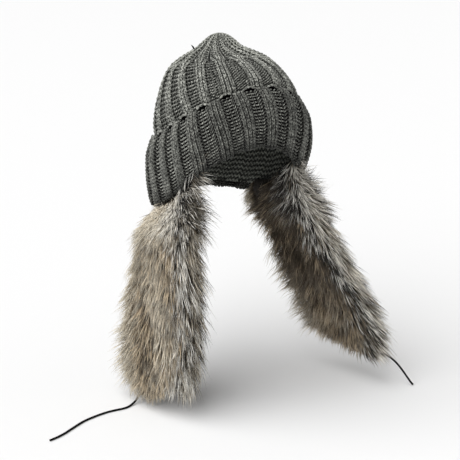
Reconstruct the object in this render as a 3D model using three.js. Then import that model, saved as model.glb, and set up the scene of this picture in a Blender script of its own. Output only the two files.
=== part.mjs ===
// A ribbed knit cap with a turned-up cuff, two long fur ear flaps and a thin tie cord on each flap.
// Millimetres, +Z up. The forehead faces -Y and +X is the wearer's left.
// The origin is the inside top of the crown, where a head holds the cap up.
import * as THREE from "three";

// Knitted fabric
const RIBS = 20; // ribs round the cap
const STEPS_PER_RIB = 4; // facets across one rib
const AROUND = RIBS * STEPS_PER_RIB;
const WALL = 5; // thickness of the knitted fabric
const CROWN_RIB = 0.8; // how far a rib of the crown stands out of its mean surface
const CUFF_RIB = 1.6; // the same on the cuff
const CUFF_GAP = 1.5; // air between the crown's mean surface and the cuff
const ROW_PITCH = 37; // mean height of one step of the section table
const SEAM_GAP = 0.4; // clearance where the crown meets the fold
const FOLD_TURNS = [-90, -45, 0, 45, 90]; // degrees round the rolled fold, from its inner leg to its outer leg
const EDGE_RIB = 0.8; // how much of a cuff rib is left at the cuff's rounded top edge

// Heights, in steps of the section table
const FOLD_LEG = 0.25; // the inner leg of the fold ends here, and the crown starts
const CUFF_TOP = 2;
const CROWN_TOP = 6;
const UNDER_CUFF = [0.42, 0.8, 1.2, 1.6, 1.94]; // loops of the crown and the cuff where they lie together
const OVER_CUFF = [2.3, 2.7, 3.1, 3.5, 3.9, 4.3, 4.7, 5.1, 5.5, 5.8]; // loops of the crown above the cuff
const LINING = [1, 2, 2.8, 3.6, 4.2, 4.7, 5.1, 5.4]; // loops of the crown's inner face
const GATHER_FROM = 4; // above this the fabric is bunched, so the wall grows
const GATHER_WALL = 19; // thickness of the bunched fabric at the very top
const KNOT = 3.5; // how far the gathered knot stands over the last loop

// Horizontal sections of the crown's mean outer surface, from the rim to the top. Each is an ellipse
// round (0, y, z). tilt raises its front, in degrees, and saddle lifts front and back over the sides.
const SECTIONS = [
  { y: -12, z: -152, halfWidth: 84, halfDepth: 97, tilt: 26, saddle: 17 },
  { y: -19, z: -114, halfWidth: 91, halfDepth: 102, tilt: 25, saddle: 15 },
  { y: -15, z: -75, halfWidth: 87, halfDepth: 98, tilt: 24, saddle: 10 },
  { y: -5, z: -42, halfWidth: 77, halfDepth: 88, tilt: 19, saddle: 5 },
  { y: 2, z: -13, halfWidth: 60, halfDepth: 67, tilt: 12, saddle: 0 },
  { y: 2, z: 6, halfWidth: 34, halfDepth: 37, tilt: 7, saddle: 0 },
  { y: 0, z: 22, halfWidth: 12, halfDepth: 12, tilt: 2, saddle: 0 },
];

// Ear flaps. Each row is a section of the fur's outer form: its centre, its width from back edge to front
// edge, its thickness, how far its front edge is turned towards the wearer's left in degrees, how much
// higher the front edge is than the back edge, and how far its edges bend in towards the neck.
const FLAP_ACROSS = 12; // facets across one face of a flap
const FLAP_GAP = 0.7; // clearance between the sewn edge and the knitted wall
const FLAP_STEPS = 2; // loops between two rows of a table
const FLAP_CORNER = 2.6; // 2 is an ellipse, more is a fuller section
const FLAP_SEWN = [ // the edge that is sewn inside the rim, by height in steps of the section table
  { at: 0.42, thick: 3 },
  { at: 0.22, thick: 3 },
  { at: -0.03, thick: 3 },
  { at: -0.2, thick: 9 },
];
const FLAP_RIGHT = {
  side: -1,
  sewn: { back: -124, front: -58 },
  rows: [
    { x: -84, y: -20, z: -184, width: 106, thick: 26, turn: 2, rise: 32, bend: 11 },
    { x: -90, y: -27, z: -212, width: 114, thick: 38, turn: 9, rise: 17, bend: 7 },
    { x: -93, y: -33, z: -250, width: 118, thick: 42, turn: 15, rise: 8, bend: 4 },
    { x: -97, y: -37, z: -295, width: 121, thick: 43, turn: 20, rise: 0, bend: 2 },
    { x: -102, y: -40, z: -340, width: 120, thick: 43, turn: 22, rise: -4, bend: 2 },
    { x: -107, y: -39, z: -378, width: 108, thick: 40, turn: 22, rise: -4, bend: 2 },
    { x: -109, y: -38, z: -404, width: 84, thick: 32, turn: 22, rise: -3, bend: 1 },
  ],
  tip: { x: -110, y: -38, z: -415 },
};
const FLAP_LEFT = {
  side: 1,
  sewn: { back: 124, front: 58 },
  rows: [
    { x: 86, y: -20, z: -182, width: 104, thick: 26, turn: 2, rise: 32, bend: 11 },
    { x: 96, y: -27, z: -208, width: 108, thick: 38, turn: 9, rise: 19, bend: 7 },
    { x: 109, y: -37, z: -242, width: 112, thick: 42, turn: 15, rise: 12, bend: 4 },
    { x: 124, y: -50, z: -283, width: 115, thick: 43, turn: 20, rise: 6, bend: 2 },
    { x: 139, y: -61, z: -322, width: 116, thick: 43, turn: 22, rise: 0, bend: 2 },
    { x: 150, y: -69, z: -356, width: 108, thick: 40, turn: 22, rise: -4, bend: 2 },
    { x: 155, y: -72, z: -378, width: 86, thick: 32, turn: 22, rise: -4, bend: 1 },
  ],
  tip: { x: 157, y: -74, z: -389 },
};

// Tie cords: thin round cord that leaves the lower edge of each flap and falls to the level of the right
// flap's tip, where it lies.
const CORD_DIAMETER = 2.5;
const CORD_SIDES = 8;
const CORD_STEP = 2.6; // length of one facet, in diameters
const CORD_RIGHT = [
  [-120.7, -14.2, -408.2], [-122.3, -15.2, -411.2], [-125.4, -16.9, -413.8], [-130, -19.2, -415.7],
  [-134.8, -21.8, -416.5], [-140, -24, -416.7],
  [-147, -25, -416.7], [-155, -24.5, -416.7], [-164, -24.5, -416.7], [-173, -25.5, -416.7], [-182, -27.5, -416.7],
  [-191, -30, -416.7], [-200, -33.5, -416.7], [-209, -38.5, -416.7], [-218, -44, -416.7], [-227, -49.5, -416.7],
  [-237, -54, -416.7], [-247, -57, -416.7],
];
const CORD_LEFT = [
  [177, -108.8, -376.2], [180.4, -111.1, -378.1], [183.5, -113.8, -380.6], [186, -116.2, -382.9],
  [188.4, -118.6, -385.3], [190.6, -120.8, -387.9], [192.7, -122.8, -390.8], [194.7, -124.7, -393.9],
  [196.7, -126.5, -397.2], [198.6, -128.3, -400.6], [200.5, -130, -404.1], [202.4, -131.7, -407.5],
  [204.2, -133.2, -410.8], [206, -134.8, -413.9], [208, -136.8, -416.7],
];

// Finishes
const WOOL = { color: 0x5f625c, roughness: 0.95, metalness: 0 };
const FUR = { color: 0x8f8474, roughness: 0.9, metalness: 0 };
const CORD = { color: 0x141414, roughness: 0.7, metalness: 0 };

// A value of a table of evenly spaced rows, on a smooth curve through them.
function along(rows, column, at) {
  const last = rows.length - 1;
  const index = Math.min(Math.max(Math.floor(at), 0), last - 1);
  const t = at - index;
  const value = (row) => rows[row][column];
  const here = value(index);
  const next = value(index + 1);
  const before = index > 0 ? value(index - 1) : 2 * here - next;
  const after = index + 2 <= last ? value(index + 2) : 2 * next - here;
  const slope = next - before;
  const curve = 2 * before - 5 * here + 4 * next - after;
  const twist = 3 * here - before - 3 * next + after;
  return 0.5 * (2 * here + slope * t + curve * t * t + twist * t ** 3);
}

// A point of the crown's mean outer surface. The angle is 0 at the forehead and grows to the wearer's left.
function onShell(at, angle) {
  const tilt = THREE.MathUtils.degToRad(along(SECTIONS, "tilt", at));
  const depth = -along(SECTIONS, "halfDepth", at) * Math.cos(angle);
  const lift = along(SECTIONS, "saddle", at) * Math.cos(2 * angle);
  return new THREE.Vector3(
    along(SECTIONS, "halfWidth", at) * Math.sin(angle),
    along(SECTIONS, "y", at) + depth * Math.cos(tilt) + lift * Math.sin(tilt),
    along(SECTIONS, "z", at) - depth * Math.sin(tilt) + lift * Math.cos(tilt),
  );
}

// The same point moved out of the surface, or into the cap where out is negative.
function offShell(at, angle, out) {
  const small = 0.01;
  const across = onShell(at, angle + small).sub(onShell(at, angle - small));
  const upward = onShell(at + small, angle).sub(onShell(at - small, angle));
  return onShell(at, angle).addScaledVector(across.cross(upward).normalize(), out);
}

// How far a rib stands out at this angle, from -1 in a furrow to 1 on a rib. The cuff shows the fabric's
// other face, so its ribs are the crown's furrows.
function rib(angle) {
  return Math.cos(RIBS * angle);
}

// One closed loop round the cap. out is a function of the angle.
function shellLoop(at, out) {
  return Array.from({ length: AROUND }, (_, step) => {
    const angle = (2 * Math.PI * step) / AROUND;
    return offShell(at, angle, out(angle));
  });
}

// A closed body through loops of equal length. Each end is a point, or null where the loop there is a flat
// band that closes on itself. The last loop joins the first where no ends are given.
function skin(name, loops, ends, finish) {
  const count = loops[0].length;
  const points = loops.flat();
  const faces = [];
  const bands = ends ? loops.length - 1 : loops.length;
  for (let band = 0; band < bands; band += 1) {
    const low = band * count;
    const high = ((band + 1) % loops.length) * count;
    for (let step = 0; step < count; step += 1) {
      const next = (step + 1) % count;
      faces.push(low + step, low + next, high + next);
      faces.push(low + step, high + next, high + step);
    }
  }
  if (ends) {
    const top = (loops.length - 1) * count;
    faces.push(...closing(points, ends[0], 0, count));
    faces.push(...closing(points, ends[1], top, count).reverse());
  }
  return solid(name, points, faces, finish);
}

// Faces that close the loop of count points from start: a fan to a point, or a strip between its two sides.
function closing(points, end, start, count) {
  const faces = [];
  if (end) {
    const pole = points.push(end) - 1;
    for (let step = 0; step < count; step += 1) faces.push(pole, start + ((step + 1) % count), start + step);
    return faces;
  }
  for (let step = 0; step < count / 2 - 1; step += 1) {
    const [here, next] = [start + step, start + step + 1];
    const [facing, beyond] = [start + count - 1 - step, start + count - 2 - step];
    faces.push(next, here, facing, next, facing, beyond);
  }
  return faces;
}

// A mesh of these points and faces. Faces that were listed inside out are turned round.
function solid(name, points, faces, finish) {
  let volume = 0;
  for (let corner = 0; corner < faces.length; corner += 3) {
    const [a, b, c] = [points[faces[corner]], points[faces[corner + 1]], points[faces[corner + 2]]];
    volume += a.dot(b.clone().cross(c));
  }
  const outward = volume > 0 ? faces : faces.slice().reverse();
  const geometry = new THREE.BufferGeometry();
  geometry.setAttribute("position", new THREE.Float32BufferAttribute(points.flatMap((p) => [p.x, p.y, p.z]), 3));
  geometry.setIndex(outward);
  geometry.computeVertexNormals();
  const mesh = new THREE.Mesh(geometry, new THREE.MeshStandardMaterial(finish));
  mesh.name = name;
  return mesh;
}

// Thickness of the crown's wall: the fabric's own, growing where it is gathered.
function crownWall(at) {
  const gathered = THREE.MathUtils.smoothstep(at, GATHER_FROM, CROWN_TOP);
  return THREE.MathUtils.lerp(WALL, GATHER_WALL, gathered);
}

// The hollow shell, from its top down the outside to its lower edge and up the inside.
function crown() {
  const bottom = FOLD_LEG + SEAM_GAP / ROW_PITCH;
  const levels = [bottom, ...UNDER_CUFF, ...OVER_CUFF, CROWN_TOP].reverse();
  const outer = levels.map((at) => shellLoop(at, (angle) => -CROWN_RIB * rib(angle)));
  const inner = [bottom, ...LINING].map((at) => shellLoop(at, () => -crownWall(at)));
  const top = onShell(CROWN_TOP, 0);
  const peak = new THREE.Vector3(0, 0, top.z + KNOT);
  return skin("crown", [...outer, ...inner], [peak, new THREE.Vector3(0, 0, 0)], WOOL);
}

// The band: a short leg inside the crown's lower edge, the rolled fold, and the turned-up outer leg.
function cuff() {
  const inside = -WALL;
  const outside = CUFF_GAP + WALL;
  const middle = (inside + outside) / 2;
  const roll = (outside - inside) / 2;
  const plain = (out) => () => out;
  const ribbed = (out, part) => (angle) => out + part * CUFF_RIB * rib(angle);
  const fold = FOLD_TURNS.map(THREE.MathUtils.degToRad).map((turn) => {
    const rise = (roll * (1 - Math.cos(turn))) / ROW_PITCH;
    return shellLoop(rise, ribbed(middle + roll * Math.sin(turn), Math.max(0, Math.sin(turn))));
  });
  const loops = [
    shellLoop(FOLD_LEG, plain(inside)),
    ...fold,
    ...UNDER_CUFF.map((at) => shellLoop(at, ribbed(outside, 1))),
    shellLoop(CUFF_TOP, ribbed(outside - WALL / 2, EDGE_RIB)),
    ...UNDER_CUFF.toReversed().map((at) => shellLoop(at, plain(CUFF_GAP))),
    shellLoop(FOLD_LEG, plain(CUFF_GAP)),
  ];
  return skin("cuff", loops, null, WOOL);
}

// A closed loop of a flap: across its outer face from the back edge to the front edge, then back across its
// inner face. centre gives the middle line at s from -1 to 1, and out the way to the outer face.
function flapLoop(centre, out, thick) {
  return Array.from({ length: 2 * FLAP_ACROSS }, (_, step) => {
    const turn = (Math.PI * (step + 0.5)) / FLAP_ACROSS;
    const power = 2 / FLAP_CORNER;
    const s = -Math.sign(Math.cos(turn)) * Math.abs(Math.cos(turn)) ** power;
    const t = Math.sign(Math.sin(turn)) * Math.abs(Math.sin(turn)) ** power;
    return centre(s).addScaledVector(out(s), (t * thick) / 2);
  });
}

// The part of a flap that is sewn inside the rim, which follows the rim.
function sewnLoop(flap, at, thick) {
  const inset = -(WALL + FLAP_GAP + thick / 2);
  const angle = (s) => {
    const degrees = THREE.MathUtils.mapLinear(s, -1, 1, flap.sewn.back, flap.sewn.front);
    return THREE.MathUtils.degToRad(degrees);
  };
  const centre = (s) => offShell(at, angle(s), inset);
  const out = (s) => offShell(at, angle(s), 1).sub(onShell(at, angle(s)));
  return flapLoop(centre, out, thick);
}

// A free section of a flap, at a place between the rows of its table.
function hangingLoop(flap, at) {
  const value = (column) => along(flap.rows, column, at);
  const turn = THREE.MathUtils.degToRad(value("turn"));
  const forward = new THREE.Vector3(Math.sin(turn), -Math.cos(turn), 0);
  const outward = new THREE.Vector3(Math.cos(turn), Math.sin(turn), 0).multiplyScalar(flap.side);
  const middle = new THREE.Vector3(value("x"), value("y"), value("z"));
  const centre = (s) => {
    const point = middle.clone().addScaledVector(forward, (s * value("width")) / 2);
    point.addScaledVector(outward, -value("bend") * s * s);
    point.z += (s * value("rise")) / 2;
    return point;
  };
  return flapLoop(centre, () => outward, value("thick"));
}

// The fur's outer form of one flap, from its sewn edge inside the rim to its lower end.
function earFlap(name, flap) {
  const sewn = FLAP_SEWN.map(({ at, thick }) => sewnLoop(flap, at, thick));
  const hanging = [];
  for (let step = 0; step <= (flap.rows.length - 1) * FLAP_STEPS; step += 1) {
    hanging.push(hangingLoop(flap, step / FLAP_STEPS));
  }
  const tip = new THREE.Vector3(flap.tip.x, flap.tip.y, flap.tip.z);
  return skin(name, [...sewn, ...hanging], [null, tip], FUR);
}

// A round cord along a route of chosen points.
function cord(name, route) {
  const path = new THREE.CatmullRomCurve3(route.map((p) => new THREE.Vector3(...p)));
  const section = new THREE.Shape();
  for (let side = 0; side < CORD_SIDES; side += 1) {
    const angle = (2 * Math.PI * side) / CORD_SIDES;
    const [x, y] = [Math.cos(angle) * (CORD_DIAMETER / 2), Math.sin(angle) * (CORD_DIAMETER / 2)];
    if (side === 0) section.moveTo(x, y);
    else section.lineTo(x, y);
  }
  const steps = Math.round(path.getLength() / (CORD_STEP * CORD_DIAMETER));
  const geometry = new THREE.ExtrudeGeometry(section, { steps, extrudePath: path, curveSegments: 1 });
  const mesh = new THREE.Mesh(geometry, new THREE.MeshStandardMaterial(CORD));
  mesh.name = name;
  return mesh;
}

const cap = new THREE.Group();
cap.add(crown());
cap.add(cuff());
cap.add(earFlap("ear_flap_right", FLAP_RIGHT));
cap.add(earFlap("ear_flap_left", FLAP_LEFT));
cap.add(cord("tie_cord_right", CORD_RIGHT));
cap.add(cord("tie_cord_left", CORD_LEFT));
export default cap;
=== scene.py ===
# A ribbed knit cap with a turned-up cuff, two long fur ear flaps and a thin tie cord on each flap.
# Metres, +Z up. The forehead faces -Y and +X is the wearer's left. The tables are in millimetres, as in the
# part's source.
import math

import bpy
import numpy as np
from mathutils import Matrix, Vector, kdtree


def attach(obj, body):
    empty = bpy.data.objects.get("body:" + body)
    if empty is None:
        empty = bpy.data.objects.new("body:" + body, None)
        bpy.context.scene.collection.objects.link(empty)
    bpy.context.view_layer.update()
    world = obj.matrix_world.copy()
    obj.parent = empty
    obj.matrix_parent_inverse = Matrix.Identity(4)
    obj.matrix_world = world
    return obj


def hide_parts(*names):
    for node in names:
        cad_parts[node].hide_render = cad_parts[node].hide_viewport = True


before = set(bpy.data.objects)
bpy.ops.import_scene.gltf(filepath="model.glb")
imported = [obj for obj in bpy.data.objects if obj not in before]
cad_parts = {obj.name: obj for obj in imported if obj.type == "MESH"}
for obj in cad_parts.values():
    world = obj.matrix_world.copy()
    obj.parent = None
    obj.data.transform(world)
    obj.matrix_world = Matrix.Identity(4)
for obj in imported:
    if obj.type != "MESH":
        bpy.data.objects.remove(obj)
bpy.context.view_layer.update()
MM = 0.001

# The picture
IMAGE = 460  # pixels along a side
FOCAL = 900  # focal length in pixels
AIM_PIXEL = (229, 222)
SENSOR = 36  # width of the camera's sensor, in mm
CAMERA_AZIMUTH = -27.5
CAMERA_ELEVATION = 16.5
CAMERA_AWAY = 1.1
CAMERA_AIM = (0.0, -0.024, -0.200)

# The studio
FLOOR_HEIGHT = -0.4181
FLOOR_REACH = 60  # from the middle of the floor to each side
SURROUND = 0.3  # strength of the white surround
LIGHTS = {
    "key": {"from": (-1.15, -0.25, 1.4), "angle": 75, "strength": 3.55},
    "fill": {"from": (1.0, -0.6, 0.6), "angle": 70, "strength": 0.15},
}

# The knitted fabric, in mm
RIBS = 20
STITCHES = 120
SAMPLES = 8  # points of yarn in a stitch
YARN_SIDES = 4
STITCH_NECK = 0.07  # how far a stitch's legs draw together, as a share of its width
STITCH_LEAN = 0.24  # how far they lean, as such a share
STITCH_SKEW = 0.1  # how far a purl loop's head lies to the side of its foot, as such a share
STITCH_SLANT = 0.24  # how far its arcs rise to one side, as a share of the course
WALL = 5
KNOT_WALL = 19  # thickness of the fabric gathered at the crown's top
CROWN_RIB = 1.2  # how far a rib stands out of the mean surface
CUFF_RIB = 1.9
CUFF_GAP = 1.5  # between the crown and the cuff
CROWN_COURSE = 3.6  # height of one knitted course
CUFF_COURSE = 3.6
CUFF_OUTER_COURSES = 20  # courses of the cuff down to its fold
EDGE_DROP = 3.9  # how far the stitches of a furrow start below the cuff's free edge
EDGE_TAPER = 4.6  # how far the cuff's outer face sinks towards its free edge
TUCK = 3.4  # how far the crown draws in under the cuff's free edge
NECK = 1.7  # how far the crown draws in below its knot
KNOT = 3.5  # height of the crown's closed top
LINING_ROW = 6.66  # mean height of a row of faces on the crown's inner face
WALL_TURNS = 240  # points round a backing wall
CROWN_SEED = 11
CUFF_SEED = 5

# Heights count in steps of the section table, from the fold up
ROW_PITCH = 37  # mean height of one step, in mm
CUFF_TOP = 2
CROWN_TOP = 6
FURROWS_CLOSE = (3.85, 4.5)  # between these the crown's purl furrows close
YARN_END = {"at": 5.12, "angle": -101, "width": 2.8}  # the crown's loose end of yarn

# The sections of the shell, a column for each step: middle, half sizes and saddle in mm, tilt in degrees
SECTIONS = {
    "y": (-12, -19, -15, -5, 2, 2, 0),
    "z": (-152, -114, -75, -42, -13, 6, 22),
    "half_width": (84, 91, 87, 77, 60, 34, 12),
    "half_depth": (97, 102, 98, 88, 67, 37, 12),
    "tilt": (26, 25, 24, 19, 12, 7, 2),
    "saddle": (17, 15, 10, 5, 0, 0, 0),
}

# Where the ribs lie: the even angle of a wale in the fabric and its angle on the shell, in degrees
RIB_PLACES = {
    "crown": {
        "fabric": (-180, -90, -36, -18, 0, 18, 36, 60, 180),
        "shell": (-180, -90, -36.5, -15.5, 6.5, 23, 38, 60, 180),
    },
    "cuff": {
        "fabric": (-180, -135, -99, -81, -63, -45, -27, -9, 9, 27, 45, 180),
        "shell": (-180, -126, -86, -73, -60, -45, -27, -10, 9, 27.5, 45, 180),
    },
}
CROWN_TWIST = {"at": (0.2, 2, 3, 4.2, 5.2, 6, 7), "turn": (10, 2.5, 0, -3, -12, -20, -24)}
CUFF_TWIST = 5.7  # degrees in one step of the section table

# The flaps, in mm and degrees. Across a flap, places run from -1 at its back edge to 1 at its front edge.
HEM_PLACES = (-1, -0.5, 0, 0.5, 1)
SEWN = (124, 58)  # the angles on the shell at which the back and front edges are sewn
STRIPE = 0.84  # the place of the grizzled stripe
FLAP_COLUMNS = ("x", "y", "z", "width", "thick", "turn", "rise", "bend")
# white: a share added to the stripe's white hairs
# frost: 1 if the white hairs crowd in front of the stripe's middle, -1 if they crowd behind it
# fringe_grizzled: how grizzled the hairs in front of the stripe are
# fringe_dark: the share of dark hairs among the cream ones
# front_fan: how far the hairs of the front edge fan out
# hem: how far the lower end is raised at each of HEM_PLACES
# rows: sections from the rim down
FLAPS = {
    "ear_flap_right": {
        "side": -1,
        "seed": 21,
        "white": 0.08,
        "frost": -1,
        "fringe_grizzled": 0,
        "fringe_dark": 0.15,
        "front_fan": 0.05,
        "hem": (-6, -16, -8, 8, 13),
        "rows": (
            (-84, -20, -184, 106, 26, 2, 32, 11),
            (-90, -27, -212, 114, 38, 9, 17, 7),
            (-93, -33, -250, 118, 42, 15, 8, 4),
            (-97, -37, -295, 121, 43, 20, 0, 2),
            (-102, -40, -340, 120, 43, 22, -4, 2),
            (-107, -39, -378, 108, 40, 22, -4, 2),
            (-109, -38, -404, 84, 32, 22, -3, 1),
        ),
    },
    "ear_flap_left": {
        "side": 1,
        "seed": 22,
        "white": -0.02,
        "frost": 1,
        "fringe_grizzled": 0.5,
        "fringe_dark": 0.25,
        "front_fan": 1.3,
        "hem": (-2, -3, -3, -4, -10),
        "rows": (
            (86, -20, -182, 104, 26, 2, 32, 11),
            (96, -27, -208, 108, 38, 9, 19, 7),
            (109, -37, -242, 112, 42, 15, 12, 4),
            (124, -50, -283, 115, 43, 20, 6, 2),
            (139, -61, -322, 116, 43, 22, 0, 2),
            (150, -69, -356, 108, 40, 22, -4, 2),
            (155, -72, -378, 86, 32, 22, -4, 1),
        ),
    },
}
SKIN_TURNS = 64  # points round the hide
SKIN_ROWS = 60  # rings of the hide below the rim
SKIN_END = 5.3  # where the hide ends, in steps of the rows
SEWN_LEVELS = (0.42, 0.2, 0.06, -0.08, -0.2)  # rings of the sewn edge, by height in the section table
ROOTS_FROM = 2  # the first ring that has pile on its outer face
CORNER = 2.6  # power of the flap's rounded section

# The hairs of a flap, in mm: tuft is how many share one, and pull how far they draw to its middle
FUR = {
    "long": {"count": 7000, "length": 36, "width": 1.05, "rings": 2, "tuft": 6, "pull": 0.62},
    "short": {"count": 21500, "length": 25, "width": 1.3, "rings": 1, "tuft": 12, "pull": 0.5},
}
STRAND_RINGS = {1: ((0.38, 1.0),), 2: ((0.25, 1.0), (0.65, 0.8))}  # shares of a strand's length and width
STRAND_FLATNESS = 0.45
LOWEST_TIP = -416.5

# Colours of a hair by place from its root to its tip
FUR_TONES = {
    "brown": [
        (0, (0.03, 0.022, 0.015)), (0.3, (0.19, 0.142, 0.093)),
        (0.65, (0.55, 0.435, 0.295)), (1, (0.82, 0.7, 0.52)),
    ],
    "dark": [(0, (0.015, 0.012, 0.009)), (0.5, (0.062, 0.05, 0.036)), (1, (0.17, 0.137, 0.1))],
    "white": [
        (0, (0.03, 0.026, 0.022)), (0.4, (0.28, 0.26, 0.22)),
        (0.62, (0.85, 0.83, 0.77)), (1, (0.95, 0.93, 0.88)),
    ],
    "black": [(0, (0.008, 0.008, 0.008)), (0.7, (0.016, 0.017, 0.018)), (1, (0.045, 0.046, 0.046))],
    "cream": [
        (0, (0.05, 0.04, 0.028)), (0.35, (0.3, 0.25, 0.18)),
        (0.65, (0.78, 0.71, 0.58)), (1, (0.93, 0.88, 0.77)),
    ],
}

CORD_DIAMETER = 2.5
CORDS = {
    "right": (
        (-120.7, -14.2, -408.2), (-122.3, -15.2, -411.2), (-125.4, -16.9, -413.8), (-130, -19.2, -415.7),
        (-134.8, -21.8, -416.5), (-140, -24, -416.7), (-147, -25, -416.7), (-155, -24.5, -416.7),
        (-164, -24.5, -416.7), (-173, -25.5, -416.7), (-182, -27.5, -416.7), (-191, -30, -416.7),
        (-200, -33.5, -416.7), (-209, -38.5, -416.7), (-218, -44, -416.7), (-227, -49.5, -416.7),
        (-237, -54, -416.7), (-247, -57, -416.7),
    ),
    "left": (
        (177, -108.8, -376.2), (180.4, -111.1, -378.1), (183.5, -113.8, -380.6), (186, -116.2, -382.9),
        (188.4, -118.6, -385.3), (190.6, -120.8, -387.9), (192.7, -122.8, -390.8), (194.7, -124.7, -393.9),
        (196.7, -126.5, -397.2), (198.6, -128.3, -400.6), (200.5, -130, -404.1), (202.4, -131.7, -407.5),
        (204.2, -133.2, -410.8), (206, -134.8, -413.9), (208, -136.8, -416.7),
    ),
}


def smooth(value, low, high):
    """A smooth step from 0 at low to 1 at high."""
    part = np.clip((np.asarray(value, float) - low) / (high - low), 0, 1)
    return part * part * (3 - 2 * part)


def mix(a, b, share):
    """a where share is 0, and b where it is 1."""
    return a + (b - a) * share


def unit(vectors):
    """The same vectors at length 1."""
    return vectors / np.maximum(np.linalg.norm(vectors, axis=-1, keepdims=True), 1e-9)


def along(values, at):
    """The values of evenly spaced rows, on a smooth curve through them."""
    values = np.asarray(values, float)
    padded = np.concatenate([[2 * values[0] - values[1]], values, [2 * values[-1] - values[-2]]])
    index = np.clip(np.floor(at).astype(int), 0, len(values) - 2)
    t = at - index
    before, here, after, last = (padded[index + step] for step in range(4))
    slope = after - before
    curve = 2 * before - 5 * here + 4 * after - last
    twist = 3 * here - before - 3 * after + last
    return 0.5 * (2 * here + slope * t + curve * t**2 + twist * t**3)


def on_shell(at, angle):
    """A point of the crown's mean outer surface. Past the last section the top closes."""
    at, angle = np.broadcast_arrays(np.asarray(at, float), np.asarray(angle, float))
    over = np.clip(at - CROWN_TOP, 0, 1)
    at = np.minimum(at, CROWN_TOP)
    tilt = np.radians(along(SECTIONS["tilt"], at))
    depth = -along(SECTIONS["half_depth"], at) * np.cos(angle) * (1 - over)
    lift = along(SECTIONS["saddle"], at) * np.cos(2 * angle)
    x = along(SECTIONS["half_width"], at) * np.sin(angle) * (1 - over)
    y = along(SECTIONS["y"], at) + depth * np.cos(tilt) + lift * np.sin(tilt)
    z = along(SECTIONS["z"], at) - depth * np.sin(tilt) + lift * np.cos(tilt)
    return np.stack([x, y, z + KNOT * (1 - (1 - over) ** 2)], -1)


def shell_frame(at, angle):
    """The directions out of the shell, round it and up it."""
    small = 0.01
    across = on_shell(at, angle + small) - on_shell(at, angle - small)
    upward = on_shell(at + small, angle) - on_shell(at - small, angle)
    return unit(np.cross(across, upward)), unit(across), unit(upward)


def off_shell(at, angle, out):
    """A point of the shell moved out of its surface."""
    out = np.asarray(out, float)
    return on_shell(at, angle) + shell_frame(at, angle)[0] * out[..., None]


def lay(part, at, angle):
    """The angle on the shell at which a wale of the crown or the cuff lies at this height. The ribs lean."""
    degrees = (np.degrees(angle) + 180) % 360 - 180
    places = RIB_PLACES[part]
    moved = np.interp(degrees, places["fabric"], places["shell"]) - degrees
    side = smooth(-np.sin(angle), 0.6, 0.95)
    if part == "cuff":
        twist = CUFF_TWIST * (CUFF_TOP - at) * (1 - 0.6 * side)
    else:
        twist = np.interp(at, CROWN_TWIST["at"], CROWN_TWIST["turn"]) - 5 * side * np.clip(at - 3, -1, 1.2)
    return angle + np.radians(moved + twist)


def spaced(*stretches):
    """Evenly spaced values over each stretch, given as its first value, last value and count."""
    return np.concatenate([np.linspace(*stretch) for stretch in stretches])


def new_object(name, data):
    """A new object of the scene with this data."""
    thing = bpy.data.objects.new(name, data)
    bpy.context.scene.collection.objects.link(thing)
    return thing


def set_up(thing, place, back):
    """Puts a camera or a lamp at a place, looking away from the direction back."""
    thing.location = place
    thing.rotation_mode = "QUATERNION"
    thing.rotation_quaternion = (-back).to_track_quat("-Z", "Y")


def mesh_piece(name, points, faces, material, node, masks=None):
    """A mesh object that stands for a node: points in mm, and faces as one array or a list of arrays."""
    groups = faces if isinstance(faces, list) else [faces]
    mesh = bpy.data.meshes.new(name)
    mesh.vertices.add(len(points))
    mesh.vertices.foreach_set("co", (np.asarray(points, np.float32) * MM).ravel())
    corners = np.concatenate([group.ravel() for group in groups]).astype(np.int32)
    sizes = np.concatenate([np.full(len(group), group.shape[1], np.int32) for group in groups])
    mesh.loops.add(len(corners))
    mesh.loops.foreach_set("vertex_index", corners)
    mesh.polygons.add(len(sizes))
    mesh.polygons.foreach_set("loop_start", (np.cumsum(sizes) - sizes).astype(np.int32))
    mesh.update(calc_edges=True)
    mesh.polygons.foreach_set("use_smooth", np.ones(len(sizes), bool))
    for label, values in (masks or {}).items():
        attribute = mesh.attributes.new(label, "FLOAT", "POINT")
        attribute.data.foreach_set("value", np.asarray(values, np.float32))
    mesh.materials.append(material)
    piece = new_object(name, mesh)
    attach(piece, "root")
    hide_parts(node)
    return piece


def finish_faces(piece, material, chosen):
    """Gives the chosen faces of a piece a second material."""
    piece.data.materials.append(material)
    piece.data.polygons.foreach_set("material_index", chosen.astype(np.int32))


def ring_faces(rings, count, closed):
    """Quads between rings of count points each. closed joins the last ring to the first."""
    ring = np.arange(rings if closed else rings - 1)[:, None]
    step = np.arange(count)[None, :]
    here = ring * count + step
    beside = ring * count + (step + 1) % count
    over = ((ring + 1) % rings) * count
    faces = np.stack([here, beside, over + (step + 1) % count, over + step], -1)
    return faces.reshape(-1, 4)


def fan_faces(pole, start, count, outward):
    """Triangles from a pole to the ring that starts at start."""
    step = np.arange(count)
    faces = np.stack([np.full(count, pole), start + (step + 1) % count, start + step], -1)
    return faces if outward else faces[:, ::-1]


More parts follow.
